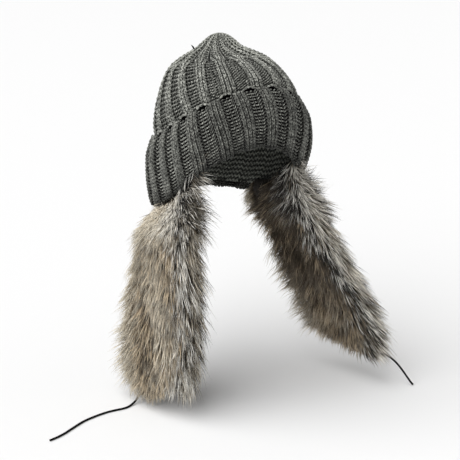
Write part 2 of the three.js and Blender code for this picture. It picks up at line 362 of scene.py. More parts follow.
# Materials
def node_material(name):
    """A new material with its shader, a function that adds nodes and one that sets the surface."""
    material = bpy.data.materials.new(name)
    material.use_nodes = True
    tree = material.node_tree
    shader = tree.nodes["Principled BSDF"]

    def add(kind, inputs=None, **settings):
        node = tree.nodes.new(kind)
        for key, value in settings.items():
            setattr(node, key, value)
        for key, value in (inputs or {}).items():
            if isinstance(value, bpy.types.NodeSocket):
                tree.links.new(value, node.inputs[key])
            else:
                node.inputs[key].default_value = value
        return node

    def surface(colour, roughness, gloss=0.5, relief=None, strength=0.5, depth=0.0004):
        tree.links.new(colour, shader.inputs["Base Color"])
        shader.inputs["Roughness"].default_value = roughness
        shader.inputs["Specular IOR Level"].default_value = gloss
        if relief is not None:
            bump = add("ShaderNodeBump", {"Height": relief, "Strength": strength, "Distance": depth})
            tree.links.new(bump.outputs["Normal"], shader.inputs["Normal"])

    return material, shader, add, surface


def ramp(add, value, stops):
    """A colour ramp on a value."""
    node = add("ShaderNodeValToRGB", {"Fac": value})
    elements = node.color_ramp.elements
    while len(elements) < len(stops):
        elements.new(0.5)
    for element, (place, colour) in zip(elements, stops):
        element.position = place
        element.color = (*colour, 1)
    return node.outputs["Color"]


def noise(add, scale, detail):
    """Fine noise through the object."""
    place = add("ShaderNodeTexCoord").outputs["Object"]
    return add("ShaderNodeTexNoise", {"Vector": place, "Scale": scale, "Detail": detail}).outputs["Fac"]


def mask(add, name):
    """One of the masks that a mesh carries."""
    return add("ShaderNodeAttribute", attribute_name=name).outputs["Fac"]


def blend(add, a, b, share, **settings):
    """The colour a where share is 0, and b where it is 1."""
    inputs = {"Factor": share, "A": a, "B": b}
    return add("ShaderNodeMix", inputs, data_type="RGBA", **settings).outputs["Result"]


def compare(add, value, low, high):
    """0 where the value is under low, and 1 where it is over high."""
    return add("ShaderNodeMapRange", {"Value": value, "From Min": low, "From Max": high}).outputs["Result"]


def heather_wool(name, dark, light, deep, fleck_scale=560, gloss=0.1, sheen=0.08):
    """Mottled grey yarn: two greys mixed by fine noise, painted shade of deep grey where sunk, with a fuzzy
    bump.
    """
    material, shader, add, surface = node_material(name)
    flecks = noise(add, fleck_scale, 3)
    greys = ramp(add, flecks, [(0.37, dark), (0.63, light)])
    clouds = ramp(add, noise(add, 55, 2), [(0.3, (0.82, 0.82, 0.82)), (0.7, (1, 1, 1))])
    tinted = blend(add, greys, clouds, 1.0, blend_type="MULTIPLY")
    # Painted shade: the colour goes to the deep grey where the lit mask is low
    surface(blend(add, (*deep, 1), tinted, mask(add, "lit")), 0.9, gloss, flecks)
    shader.inputs["Sheen Weight"].default_value = sheen
    shader.inputs["Sheen Roughness"].default_value = 0.5
    return material


def wool_lining():
    """The fabric's inner face, its stitches as bump and shade from the knit's own map."""
    material, _, add, surface = node_material("wool_inner_face")

    def sums(operation, first, second=0.0):
        return add("ShaderNodeMath", {0: first, 1: second}, operation=operation).outputs[0]

    knit = add("ShaderNodeUVMap", uv_map="knit").outputs["UV"]
    split = add("ShaderNodeSeparateXYZ", {"Vector": knit})
    wale, course = split.outputs["X"], split.outputs["Y"]
    middle = sums("ABSOLUTE", sums("SUBTRACT", sums("FRACT", wale), 0.5))
    legs = sums("SINE", sums("MULTIPLY", sums("ADD", course, middle), math.tau))
    wave = sums("MULTIPLY", sums("SINE", sums("MULTIPLY", wale, math.tau)), 0.16)
    arcs = sums("SINE", sums("MULTIPLY", sums("ADD", course, wave), math.tau))
    side = sums("SINE", sums("ADD", sums("MULTIPLY", wale, math.tau * RIBS / STITCHES), math.tau / 4))
    inputs = {"Factor": compare(add, side, -0.25, 0.25), "A": arcs, "B": legs}
    relief = add("ShaderNodeMix", inputs, data_type="FLOAT").outputs["Result"]
    level = sums("ADD", sums("MULTIPLY", relief, 0.22), noise(add, 700, 3))
    greys = [(0.25, (0.012, 0.013, 0.011)), (0.5, (0.09, 0.095, 0.083)), (0.8, (0.26, 0.27, 0.24))]
    surface(ramp(add, level, greys), 0.95, 0.2, relief, strength=0.8, depth=0.0012)
    return material


def braided_cord():
    """Black cord with a fine slanted braid."""
    material, _, add, surface = node_material("cord_black")
    place = add("ShaderNodeTexCoord").outputs["Object"]
    pattern = {"Vector": place, "Scale": 450, "Distortion": 3}
    braid = add("ShaderNodeTexWave", pattern, bands_direction="DIAGONAL").outputs["Fac"]
    colour = ramp(add, braid, [(0, (0.004, 0.004, 0.004)), (1, (0.016, 0.016, 0.017))])
    surface(colour, 0.6, 0.04, braid, depth=0.0003)
    return material


def fur_pile():
    """Pile coloured from root to tip: brown and cream, black with white tips in the grizzled stripe."""
    material, _, add, surface = node_material("fur_pile")
    pile, own = mask(add, "pile"), mask(add, "own")
    tone = {name: ramp(add, pile, stops) for name, stops in FUR_TONES.items()}
    frosted = add("ShaderNodeMath", {0: own, 1: mask(add, "frost")}, operation="ADD").outputs[0]
    stripe = blend(add, tone["black"], tone["white"], compare(add, frosted, 0.57, 0.62))
    body = blend(add, tone["brown"], tone["dark"], compare(add, own, 0.52, 0.6))
    # Painted shade: where the shaded mask lies, on the flap's inner face, the hairs go to the dark tone
    deep = blend(add, body, tone["dark"], compare(add, own, 0.08, 0.2))
    coat = blend(add, body, tone["cream"], mask(add, "cream"))
    coat = blend(add, coat, deep, mask(add, "shaded"))
    coat = blend(add, coat, stripe, mask(add, "grizzled"))
    surface(coat, 0.6, 0.12)
    return material


def fur_hide():
    """The dark woven ground under the pile."""
    material, _, add, surface = node_material("fur_hide")
    weave = noise(add, 400, 2)
    colour = ramp(add, weave, [(0.3, (0.012, 0.01, 0.008)), (0.7, (0.05, 0.042, 0.034))])
    surface(colour, 0.95, relief=weave, strength=0.6, depth=0.001)
    return material


WOOL_YARN = heather_wool("wool_yarn", (0.07, 0.073, 0.065), (0.86, 0.87, 0.785), (0.003, 0.0032, 0.003))
# Painted shade: the walls behind the stitches are near-black, standing for the shadow between the loops of
# yarn
WOOL_SHADE_BACKING = heather_wool(
    "wool_shade_backing", (0.015, 0.016, 0.014), (0.1, 0.104, 0.092), (0.002, 0.002, 0.002), 700, gloss=0, sheen=0
)
WOOL_LINING = wool_lining()
CORD_BLACK = braided_cord()
FUR_PILE = fur_pile()
FUR_HIDE = fur_hide()


# Camera
camera = new_object("camera", bpy.data.cameras.new("camera"))
azimuth, elevation = math.radians(CAMERA_AZIMUTH), math.radians(CAMERA_ELEVATION)
level = math.cos(elevation)
back = Vector((math.sin(azimuth) * level, -math.cos(azimuth) * level, math.sin(elevation)))
set_up(camera, Vector(CAMERA_AIM) + back * CAMERA_AWAY, back)
camera.data.sensor_width = SENSOR
camera.data.lens = SENSOR * FOCAL / IMAGE
camera.data.shift_x = (IMAGE / 2 - AIM_PIXEL[0]) / IMAGE
camera.data.shift_y = (AIM_PIXEL[1] - IMAGE / 2) / IMAGE
bpy.context.scene.camera = camera


# Tie cords
def cord_line(points, steps=6):
    """Close points on the smooth curve through these, by the centripetal form that the part uses."""
    points = np.array(points, float)
    padded = np.vstack([2 * points[0] - points[1], points, 2 * points[-1] - points[-2]])
    line = []

    def slide(p, q, low, high):
        return p + (q - p) * (t - knots[low]) / (knots[high] - knots[low])

    for a, b, c, d in zip(padded, padded[1:], padded[2:], padded[3:]):
        knots = np.cumsum([0] + [np.linalg.norm(q - p) ** 0.5 for p, q in ((a, b), (b, c), (c, d))])
        for t in np.linspace(knots[1], knots[2], steps, endpoint=False):
            ab, bc, cd = slide(a, b, 0, 1), slide(b, c, 1, 2), slide(c, d, 2, 3)
            line.append(slide(slide(ab, bc, 0, 2), slide(bc, cd, 1, 3), 1, 2))
    line.append(points[-1])
    return np.array(line) * MM


def tie_cord(side):
    """A limp round cord with a cut end."""
    line = cord_line(CORDS[side])
    curve = bpy.data.curves.new(f"tie_cord_{side}_line", "CURVE")
    curve.dimensions = "3D"
    curve.bevel_depth = CORD_DIAMETER / 2 * MM
    curve.bevel_resolution = 3
    curve.use_fill_caps = True
    spline = curve.splines.new("POLY")
    spline.points.add(len(line) - 1)
    spline.points.foreach_set("co", np.hstack([line, np.ones((len(line), 1))]).ravel())
    curve.materials.append(CORD_BLACK)
    piece = new_object(f"cord_{side}", curve)
    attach(piece, "root")
    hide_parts(f"tie_cord_{side}")


tie_cord("right")
tie_cord("left")


# Knitted fabric
def cuff_side(angle):
    """1 where the cuff shows knit stitches and the crown purl ones, -1 where it is the other way."""
    return np.clip(2 * np.cos(RIBS * angle), -1, 1)


def ridge(angle):
    """The cross-section of the ribs, from -1 in a furrow to 1 on a rib, with flat tops."""
    return np.sin(math.pi / 2 * np.clip(1.7 * np.cos(RIBS * angle), -1, 1))


def gathered(at):
    """How far the crown's purl furrows have closed, from 0 to 1."""
    return smooth(at, *FURROWS_CLOSE)


def pleat_angle(at, angle):
    """The angle in the fabric that a place moves to as the crown's furrows close towards the top.

    Also gives how far it then lies from the middle of its rib, from 0 to 1.
    """
    rib = RIBS * angle / math.tau - 0.5
    near = rib - np.round(rib)
    moved = near
    for _ in range(2):
        moved = moved + 0.93 * gathered(at) * np.sin(math.tau * moved) / math.tau
    return angle + (moved - near) * math.tau / RIBS, 2 * np.abs(moved)


def crown_out(at, angle):
    """How far the crown's fabric stands out of its mean surface, in mm, and the angle that it lies at."""
    place, share = pleat_angle(at, angle)
    low = -CROWN_RIB * ridge(angle)
    width = along(SECTIONS["half_width"], np.minimum(at, CROWN_TOP)) * math.tau / RIBS
    pleat = 0.62 * width * (np.sqrt(1 - 0.96 * share**2) - 0.84)
    flatter = 1 - 0.6 * smooth(at, 6.0, 6.9)
    tucked = -TUCK * (1 - smooth(at, 1.9, 2.45))
    neck = -NECK * np.exp(-(((at - 5.3) / 0.35) ** 2))
    return mix(low, pleat, gathered(at)) * flatter + tucked + neck, lay("crown", at, place)


def yarn_tubes(name, node, centres, outs, radius, lit):
    """A piece of closed tubes along closed lines, (lines, points, 3). lit is how open to light a point is."""
    lines, count, _ = centres.shape
    ahead = unit(np.roll(centres, -1, 1) - np.roll(centres, 1, 1))
    sideways = unit(np.cross(ahead, outs))
    normal = np.cross(sideways, ahead)
    rings = []
    for side in range(YARN_SIDES):
        angle = math.tau * (side + 0.5) / YARN_SIDES
        shift = normal * math.cos(angle) + sideways * math.sin(angle)
        rings.append(centres + shift * radius[..., None])
    points = np.stack(rings, 2).reshape(-1, 3)
    starts = np.arange(lines)[:, None, None] * count * YARN_SIDES
    faces = (ring_faces(count, YARN_SIDES, True)[None] + starts).reshape(-1, 4)
    masks = {"lit": np.repeat(np.clip(lit, 0, 1).ravel(), YARN_SIDES)}
    mesh_piece(name, points, faces, WOOL_YARN, node, masks)


def stitch_angles(face):
    """For each point of one course: its phase in its stitch, its angle and 1 for knit or -1 for purl.

    face is 1 for the cuff, which shows the fabric's other side, and -1 for the crown.
    """
    step = np.arange(STITCHES * SAMPLES)
    phase = math.tau * (step % SAMPLES) / SAMPLES
    place = step / SAMPLES - 0.5 + STITCH_LEAN * np.sin(2 * phase) + STITCH_NECK * np.sin(phase)
    knit = face * cuff_side(place * math.tau / STITCHES)
    place = place - STITCH_SKEW * (0.5 - 0.5 * knit) * np.cos(phase)
    return phase, place * math.tau / STITCHES, knit


def stitch_tones(rng, courses):
    """A random tone from 0.5 to 1 for each stitch, at each of its points."""
    return np.repeat(0.5 + 0.5 * rng.random((courses, STITCHES)) ** 0.8, SAMPLES, axis=1)


def crown_course(at):
    """The height of one course of the crown, in mm: more on the stretched sides, less at the gathered top."""
    return CROWN_COURSE * mix(1, 1.38, smooth(at, 2.1, 3.2)) * mix(1, 0.45, smooth(at, 5.2, 6.6))


def course_heights(low, high):
    """The heights, in steps of the section table, of the crown's courses."""
    counted_along = -1.0  # the angle of the line on which the courses are counted
    fine = np.linspace(low, high, 600)
    line = on_shell(fine, counted_along)
    steps = np.linalg.norm(np.diff(line, axis=0), axis=1) / crown_course((fine[1:] + fine[:-1]) / 2)
    courses = np.concatenate([[0], np.cumsum(steps)])
    count = int(round(courses[-1]))
    return np.interp((np.arange(count) + 0.5) * courses[-1] / count, courses, fine)


def crown_knit(name, heights):
    """Courses of the crown's outer face."""
    rng = np.random.default_rng(CROWN_SEED)
    phase, angle, knit = stitch_angles(-1)
    is_knit = 0.5 + 0.5 * knit
    at = heights[:, None] + 0 * angle
    angle = angle + 0 * at
    closed = gathered(at)

    # The yarn's line
    climb = on_shell(at + 0.05, angle) - on_shell(at - 0.05, angle)
    pitch = crown_course(at) / (np.linalg.norm(climb, axis=-1) / 0.1)
    tall = mix(0.6, 0.76, is_knit) * pitch
    slant = STITCH_SLANT * (0.5 - 0.5 * knit) * np.sin(2 * phase) * pitch
    wander = 0.04 * rng.standard_normal(at.shape)
    raised = at - (np.cos(phase) + wander) * tall + slant
    out, place = crown_out(raised, angle)
    across = on_shell(at, angle + 0.01) - on_shell(at, angle - 0.01)
    stitch_width = np.linalg.norm(across, axis=-1) / 0.02 * math.tau / STITCHES
    small = np.clip(stitch_width * (1 + 0.9 * closed) / 5, 0.25, 1)
    radius = mix(0.68, 0.96, is_knit) * small
    depth = 0.95 * small * knit * -np.cos(2 * phase)
    normal = shell_frame(raised, place)[0]
    centres = on_shell(raised, place) + normal * (out + depth - 1.2 * small)[..., None]

    # How open to the light it lies
    front = 0.5 - 0.5 * knit * np.cos(2 * phase)
    even = mix(0.5, 0.9, smooth(at, 4.6, 5.8)) * closed
    front = mix(front ** mix(1.7, 1.1, is_knit), 1, even)
    valley = 1 - 0.95 * closed * smooth(pleat_angle(raised, angle)[1], 0.66, 0.93)
    tones = mix(stitch_tones(rng, len(heights)), 0.95, 0.7 * smooth(at, 4.2, 5.4))
    lit = (0.02 + 0.98 * front) * valley * mix(0.8, 1.0, smooth(at, 2.6, 4.4)) * tones
    yarn_tubes(name, "crown", centres, normal, radius, lit)


def wall_outside(at, angle):
    """How far the wall's outer face stands out of the shell, behind the crown's stitches, and its angle."""
    out, place = crown_out(at, angle)
    hidden = 1 - smooth(at, 1.6, 1.95)
    behind = mix(2.1, 1.5, 0.5 + 0.5 * cuff_side(angle))
    sunk = mix(behind * np.clip(1 - (at - 5) / 2, 0.3, 1), 1.0, hidden)
    return mix(out, -2.5, hidden) - sunk, place


def crown_wall():
    """The crown's closed wall behind its stitches, in painted shade, with its knitted inner face."""
    turn = math.tau * np.arange(WALL_TURNS) / WALL_TURNS
    levels = spaced((0.27, 2, 8), (2.1, 5.9, 44), (6, 6.9, 8))
    at = levels[:, None] + 0 * turn
    angle = turn + 0 * at
    depth, place = wall_outside(at, angle)
    outer = off_shell(at, place, depth)[::-1]

    # The inner face never comes nearer than 1.2 mm to the outer one
    inner_levels = spaced((0.27, 0.27, 1), (0.6, 1.5, 4), (1.6, 2.7, 12), (2.9, 5.4, 14))
    deep = inner_levels[:, None] + 0 * turn
    deep_angle = turn + 0 * deep
    wall = mix(WALL, KNOT_WALL, smooth(deep, 4, 6))
    waves = 0.8 * ridge(turn) * (1 - smooth(deep, 4, 5))
    limit = wall_outside(deep, deep_angle)[0] - 1.2
    inner = off_shell(deep, lay("crown", deep, deep_angle), np.minimum(waves - wall, limit))

    rings = np.concatenate([outer, inner]).reshape(-1, 3)
    top = on_shell(6.99, 0.0)[None, :] * np.array([[0, 0, 1]])
    points = np.vstack([rings, top, [[0, 0, 0]]])
    count = len(levels) + len(inner_levels)
    wall_faces = ring_faces(count, WALL_TURNS, False)[:, ::-1]
    faces = [
        wall_faces,
        fan_faces(count * WALL_TURNS, 0, WALL_TURNS, False),
        fan_faces(count * WALL_TURNS + 1, (count - 1) * WALL_TURNS, WALL_TURNS, True),
    ]
    # Painted shade on the outer face: darkest behind the purl furrows and in the pleat valleys
    closing = 1 - smooth(pleat_angle(at, angle)[1], 0.6, 0.9)
    lit = mix(smooth(-cuff_side(turn), 0, 1), closing, gathered(at))[::-1]
    masks = {"lit": np.concatenate([lit.ravel(), np.zeros(len(points) - lit.size)])}
    piece = mesh_piece("crown_wall", points, faces, WOOL_SHADE_BACKING, "crown", masks)
    inward = np.zeros(len(piece.data.polygons), bool)
    inward[(len(levels) - 1) * WALL_TURNS : len(wall_faces)] = True
    inward[-WALL_TURNS:] = True
    finish_faces(piece, WOOL_LINING, inward)

    # The map of the knit: wales round the cap, courses up it
    row, step = np.divmod(wall_faces, WALL_TURNS)
    first = step[:, 3:4]
    wale = (first + (step != first)) * STITCHES / WALL_TURNS
    course = row * LINING_ROW / CROWN_COURSE
    knit = np.zeros((len(piece.data.loops), 2), np.float32)
    knit[: wall_faces.size] = np.stack([wale.ravel(), course.ravel()], -1)
    piece.data.uv_layers.new(name="knit").data.foreach_set("uv", knit.ravel())


# The cuff's mean line, in mm: a straight leg down, half a circle round the fold, and on up inside
CUFF_ROLL = (CUFF_GAP + 2 * WALL) / 2
CUFF_LEG = (CUFF_TOP - CUFF_ROLL / ROW_PITCH) * ROW_PITCH
CUFF_BEND = math.pi * CUFF_ROLL


def cuff_line(run):
    """The cuff's mean line by its run in mm from its free edge down: (height in table steps, out in mm)."""
    middle = CUFF_GAP + WALL - CUFF_ROLL
    low = CUFF_ROLL / ROW_PITCH
    turn = math.pi / 2 - math.pi * np.clip((run - CUFF_LEG) / CUFF_BEND, 0, 1)
    up = np.maximum(run - CUFF_LEG - CUFF_BEND, 0) / ROW_PITCH
    at = np.where(run < CUFF_LEG, CUFF_TOP - run / ROW_PITCH, low - low * np.cos(turn) + up)
    out = np.where(run < CUFF_LEG, middle + CUFF_ROLL, middle + CUFF_ROLL * np.sin(turn))
    return at, out


def cuff_place(run, angle, sink):
    """A point of the cuff's fabric, sunk below its outer face, with the direction out of that face."""
    small = 0.05
    at, out = cuff_line(run)
    angle = lay("cuff", at, angle)
    at_before, out_before = cuff_line(run - small)
    at_after, out_after = cuff_line(run + small)
    tangent = off_shell(at_after, angle, out_after) - off_shell(at_before, angle, out_before)
    outward, around, _ = shell_frame(at, angle)
    normal = unit(np.cross(tangent, around))
    flip = np.sign(np.sum(normal * outward, -1, keepdims=True))
    normal = np.where((run < CUFF_LEG)[..., None], normal * flip, normal)
    return off_shell(at, angle, out) - normal * np.asarray(sink, float)[..., None], normal


def furrow(angle):
    """1 across the cuff's furrows and 0 on its ribs."""
    return smooth(-np.cos(RIBS * angle), -0.1, 0.45)


def edge_taper(run, angle):
    """How far the cuff's outer face sinks towards its free edge, in mm, less in the furrows."""
    return (EDGE_TAPER - 2.2 * furrow(angle)) * (1 - smooth(run, -3, 18))


def cuff_relief(run, angle):
    """How far the cuff's fabric stands out of its mean face, in mm: ribs that flatten round the fold."""
    flat = 1 - 0.75 * smooth(run, CUFF_LEG - 8, CUFF_LEG + CUFF_BEND * 0.6)
    return CUFF_RIB * ridge(angle) * flat - edge_taper(run, angle)


def fold_shade(run, depth):
    """How much light is left as the fabric turns under at the fold."""
    return 1 - depth * smooth(run, CUFF_LEG - 12, CUFF_LEG + 2)


def cuff_knit():
    """Courses of the cuff, from its free edge down, round the fold and up inside."""
    rng = np.random.default_rng(CUFF_SEED)
    phase, angle, knit = stitch_angles(1)
    is_knit = 0.5 + 0.5 * knit
    dip = EDGE_DROP * furrow(angle)
    tall = mix(0.6, 0.77, is_knit) * CUFF_COURSE
    slant = STITCH_SLANT * (0.5 - 0.5 * knit) * np.sin(2 * phase) * CUFF_COURSE
    depth = 1.05 * knit * -np.cos(2 * phase)
    front = (0.5 - 0.5 * knit * np.cos(2 * phase)) ** mix(2.3, 1.2, is_knit)
    courses = np.arange(int(round((CUFF_LEG + CUFF_BEND + 6) / CUFF_COURSE)))
    parts = {"cuff_knit": courses[:CUFF_OUTER_COURSES], "cuff_fold_knit": courses[CUFF_OUTER_COURSES:]}
    for name, chosen in parts.items():
        run = (chosen + 0.62)[:, None] * CUFF_COURSE + 0 * angle
        around = angle + 0 * run
        wander = 0.05 * rng.standard_normal(run.shape)
        place = run + dip + (np.cos(phase) + wander) * tall - slant
        place = np.maximum(place, 0.1 + dip)
        sink = 1.3 - depth - cuff_relief(place, around)
        centres, normal = cuff_place(place, around, sink)
        radius = mix(0.65, 0.98, is_knit) + 0 * run
        # Painted shade: yarn lying behind is darker, knit stitches are held darker, and all of it darkens as
        # it turns under at the fold
        lit = (0.015 + mix(0.8, 0.49, is_knit) * front) * fold_shade(place, 0.65)
        lit = lit * stitch_tones(rng, len(chosen))
        yarn_tubes(name, "cuff", centres, normal, radius, lit)


def cuff_edge():
    """The cuff's bound-off edge, a thick cord of loops that bridges the furrows."""
    count = STITCHES * SAMPLES
    angle = math.tau * np.arange(count)[None, :] / count
    beat = np.cos(STITCHES * angle)
    arch = np.clip(-np.cos(RIBS * angle), -0.4, 1)
    at_sides = smooth(np.abs(np.sin(angle)), 0.93, 1)
    run = 0.5 - 3.0 * arch * (1 - 0.5 * at_sides) + 0.35 * beat
    relief = cuff_relief(run, angle) + 0.5 * CUFF_RIB * furrow(angle) - 1.3 * (1 - furrow(angle))
    centres, normal = cuff_place(run, angle, 1.1 - relief)
    # The lit mask paints shade on the edge, a little deeper between its loops
    yarn_tubes("cuff_edge", "cuff", centres, normal, 1.25 + 0.2 * beat, 0.46 + 0.12 * beat)


def cuff_wall():
    """The cuff's closed wall behind its stitches, in painted shade: near-black, darkest in the furrows and at
    the fold.
    """
    turn = math.tau * np.arange(WALL_TURNS) / WALL_TURNS
    bent = CUFF_LEG + CUFF_BEND
    runs = spaced((1.5, CUFF_LEG, 30), (CUFF_LEG + 1, bent, 12), (bent + 3.5, bent + 3.5, 1))
    raised = 2.6 * furrow(turn) * (1 - smooth(runs, 1, 12))[:, None]
    run = runs[:, None] - raised
    angle = turn + 0 * run
    behind = mix(1.6, 2.3, 0.5 + 0.5 * cuff_side(angle))
    outer, _ = cuff_place(run, angle, behind - cuff_relief(run, angle))
    back_run = run[::-1]
    inner, _ = cuff_place(back_run, angle, WALL + 0.9 + edge_taper(back_run, angle))
    points = np.concatenate([outer, inner]).reshape(-1, 3)
    faces = ring_faces(2 * len(runs), WALL_TURNS, True)[:, ::-1]
    # Painted shade: dark in the furrows and at the fold; the inner face's yarn is held at 0.3 of its light
    lit = smooth(cuff_side(angle), 0, 1) * fold_shade(run, 0.8)
    masks = {"lit": np.concatenate([lit.ravel(), np.full(lit.size, 0.3)])}
    piece = mesh_piece("cuff_wall", points, faces, WOOL_SHADE_BACKING, "cuff", masks)
    finish_faces(piece, WOOL_YARN, np.arange(len(faces)) >= (len(runs) - 1) * WALL_TURNS)


def strands(roots, bends, tips, widths, outs, rings):
    """Closed three-sided strands, pointed at both ends, through 1 or 2 rings.

    Gives their points and faces, each point's share of the way to the tip, and the points in a strand.
    """
    number = len(roots)
    axis = unit(tips - roots)
    sideways = unit(np.cross(axis, outs))
    normal = np.cross(sideways, axis)
    layers = [roots[:, None, :]]
    places = [np.zeros((number, 1))]
    for share, size in STRAND_RINGS[rings]:
        centre = (1 - share) ** 2 * roots + 2 * share * (1 - share) * bends + share**2 * tips
        ring = []
        for side in range(3):
            angle = math.tau * side / 3
            shift = sideways * math.cos(angle) + normal * math.sin(angle) * STRAND_FLATNESS
            ring.append(centre + shift * (widths * size / 2)[:, None])
        layers.append(np.stack(ring, 1))
        places.append(np.full((number, 3), share))
    layers.append(tips[:, None, :])
    places.append(np.ones((number, 1)))
    points = np.concatenate(layers, 1)
    per = points.shape[1]
    faces = [(0, 1, 2), (0, 2, 3), (0, 3, 1)]
    for ring in range(rings - 1):
        low, high = 1 + ring * 3, 4 + ring * 3
        for side in range(3):
            beside = (side + 1) % 3
            faces += [(low + side, high + beside, low + beside), (low + side, high + side, high + beside)]
    last = 1 + (rings - 1) * 3
    faces += [(per - 1, last + 1, last), (per - 1, last + 2, last + 1), (per - 1, last, last + 2)]
    starts = np.arange(number)[:, None, None] * per
    faces = (np.array(faces)[None] + starts).reshape(-1, 3)
    return points.reshape(-1, 3), faces, np.concatenate(places, 1).ravel(), per


def yarn_end():
    """The crown's loose end of yarn, which stands out at one side."""
    at, angle = np.array(YARN_END["at"]), np.array(math.radians(YARN_END["angle"]))
    normal, around, upward = shell_frame(at, angle)
    root = on_shell(at, angle) - 4 * normal
    bend = root + 6 * normal + 1.5 * upward
    tip = root + 9.5 * normal + 1 * upward
    width = np.array([YARN_END["width"]])
    points, faces, pile, _ = strands(root[None], bend[None], tip[None], width, around[None], 2)
    masks = {"lit": np.full(len(pile), 0.06)}
    mesh_piece("crown_yarn_end", points, faces, WOOL_YARN, "crown", masks)


crown_heights = course_heights(2.06, 6.85)
half = len(crown_heights) // 2
crown_knit("crown_knit_lower", crown_heights[:half])
crown_knit("crown_knit_upper", crown_heights[half:])
crown_wall()
yarn_end()
cuff_knit()
cuff_edge()
cuff_wall()


# Fur ear flaps
def flap_loop(flap, at, turn, width_cut, thick_share):
    """Points of a flap's section and their places across it (s) and through it (t), each from -1 to 1.

    turn goes round the section: 0 at the back edge, a quarter on the outer face.
    """
    rows = np.array(flap["rows"], float).T
    value = {column: along(row, at) for column, row in zip(FLAP_COLUMNS, rows)}
    heading = np.radians(value["turn"])
    flat = np.zeros_like(heading)
    forward = np.stack([np.sin(heading), -np.cos(heading), flat], -1)
    outward = np.stack([np.cos(heading), np.sin(heading), flat], -1) * flap["side"]
    power = 2 / CORNER
    s = -np.sign(np.cos(turn)) * np.abs(np.cos(turn)) ** power
    t = np.sign(np.sin(turn)) * np.abs(np.sin(turn)) ** power
    half_width = np.maximum(value["width"] / 2 - width_cut, 4)
    half_thick = value["thick"] / 2 * thick_share
    point = np.stack([value["x"], value["y"], value["z"]], -1)
    point = point + forward * (s * half_width)[..., None]
    point = point + outward * (t * half_thick - value["bend"] * s * s)[..., None]
    point[..., 2] += s * value["rise"] / 2
    return point, s, t


def flap_rings(flap):
    """The rings of the hide that the pile stands on, from the edge sewn inside the rim to its lower end."""
    turn = math.tau * (np.arange(SKIN_TURNS) + 0.5) / SKIN_TURNS
    at = np.linspace(0, SKIN_END, SKIN_ROWS)[:, None] + 0 * turn
    cut = mix(6, 13, smooth(at, 0, 1.2)) + 10 * smooth(at, 4.6, SKIN_END)
    thick = 0.42 - 0.32 * smooth(at, 4.6, SKIN_END)
    hanging, s, t = flap_loop(flap, at, turn + 0 * at, cut, thick)
    hanging[..., 2] += np.interp(s, HEM_PLACES, flap["hem"]) * smooth(at, 4.2, SKIN_END)
    s, t = s[0], t[0]
    angles = np.radians(flap["side"] * np.interp(s, [-1, 1], SEWN))
    sewn = [off_shell(level + 0 * angles, angles, -(WALL + 2.6) + 1.2 * t) for level in SEWN_LEVELS]
    rings = np.concatenate([np.array(sewn), hanging])
    for _ in range(12):  # rounds off the turn at the rim
        rings[3:18] = (rings[2:17] + 2 * rings[3:18] + rings[4:19]) / 4
    return rings, s, t


def flap_hide(node, flap):
    """The hide as a thin closed pad inside the fur's outer form."""
    rings, _, _ = flap_rings(flap)
    count = len(rings)
    tip = rings[-1].mean(0) + np.array([0, 0, -3])
    step = np.arange(SKIN_TURNS // 2 - 1)
    facing = SKIN_TURNS - 1 - step
    sewn_edge = np.stack([step + 1, step, facing, facing - 1], -1)
    faces = [
        ring_faces(count, SKIN_TURNS, False),
        sewn_edge,
        fan_faces(count * SKIN_TURNS, (count - 1) * SKIN_TURNS, SKIN_TURNS, False),
    ]
    if flap["side"] < 0:
        faces = [group[:, ::-1] for group in faces]
    points = np.vstack([rings.reshape(-1, 3), tip[None, :]])
    mesh_piece(f"{node}_hide", points, faces, FUR_HIDE, node)


def between(grid, row, column):
    """The values of a grid of rings between its rows and columns."""
    low, left = np.floor(row).astype(int), np.floor(column).astype(int)
    up, right = (row - low)[:, None], (column - left)[:, None]
    high, beside = np.minimum(low + 1, len(grid) - 1), (left + 1) % grid.shape[1]
    left = left % grid.shape[1]
    below = mix(grid[low, left], grid[low, beside], right)
    above = mix(grid[high, left], grid[high, beside], right)
    return mix(below, above, up)


def fur_roots(rings, number, rng):
    """Random places on the hide as rows and columns of the grid of rings, closer at its rim and lower end."""
    across = np.roll(rings, -1, 1) - rings
    down = np.diff(rings, axis=0)
    weight = np.linalg.norm(np.cross(down, across[:-1]), axis=-1)
    weight[:ROOTS_FROM, : SKIN_TURNS // 2] = 0
    weight[:ROOTS_FROM] *= 3
    weight[ROOTS_FROM : len(SEWN_LEVELS) + 6] *= 2.2
    weight[-6:] *= 1.5
    cells = rng.choice(weight.size, number, p=weight.ravel() / weight.sum())
    row, column = np.divmod(cells, rings.shape[1])
    return row + rng.random(number), column + rng.random(number)


def ripple(values, rng, pitch):
    """Smooth random waves of about this pitch in mm, mostly from -1 to 1, at these points."""
    total = np.zeros(len(values))
    for _ in range(5):
        way = rng.standard_normal(3)
        way[2] *= 0.35
        total += np.sin(values @ way * math.tau / pitch + 6.3 * rng.random())
    return total / 3


def near_rim(share):
    """1 at the rim, and 0 from a fifth of the way down a flap."""
    return 1 - smooth(share, 0.0, 0.2)


def hair_places(rings, ring_s, ring_t, number, rng):
    """The roots of a flap's hairs with s, t and share, and the directions forward, outward and down there.

    s runs from -1 at the back edge to 1 at the front edge, t from -1 on the inner face to 1 on the outer
    one, and share from 0 at the rim to 1 at the lower end.
    """
    row, column = fur_roots(rings, number, rng)
    turns = np.arange(SKIN_TURNS + 1)
    quarter = SKIN_TURNS // 4
    here = np.minimum(np.round(row).astype(int), len(rings) - 1)
    downward = unit(np.gradient(rings.mean(1), axis=0)) + np.array([0, 0, -0.5])
    return (
        between(rings, row, column),
        np.interp(column, turns, np.append(ring_s, ring_s[0])),
        np.interp(column, turns, np.append(ring_t, ring_t[0])),
        (row - len(SEWN_LEVELS)) / SKIN_ROWS,
        unit(rings[:, 2 * quarter] - rings[:, 0])[here],
        unit(rings[:, quarter] - rings[:, 3 * quarter])[here],
        unit(downward)[here],
    )


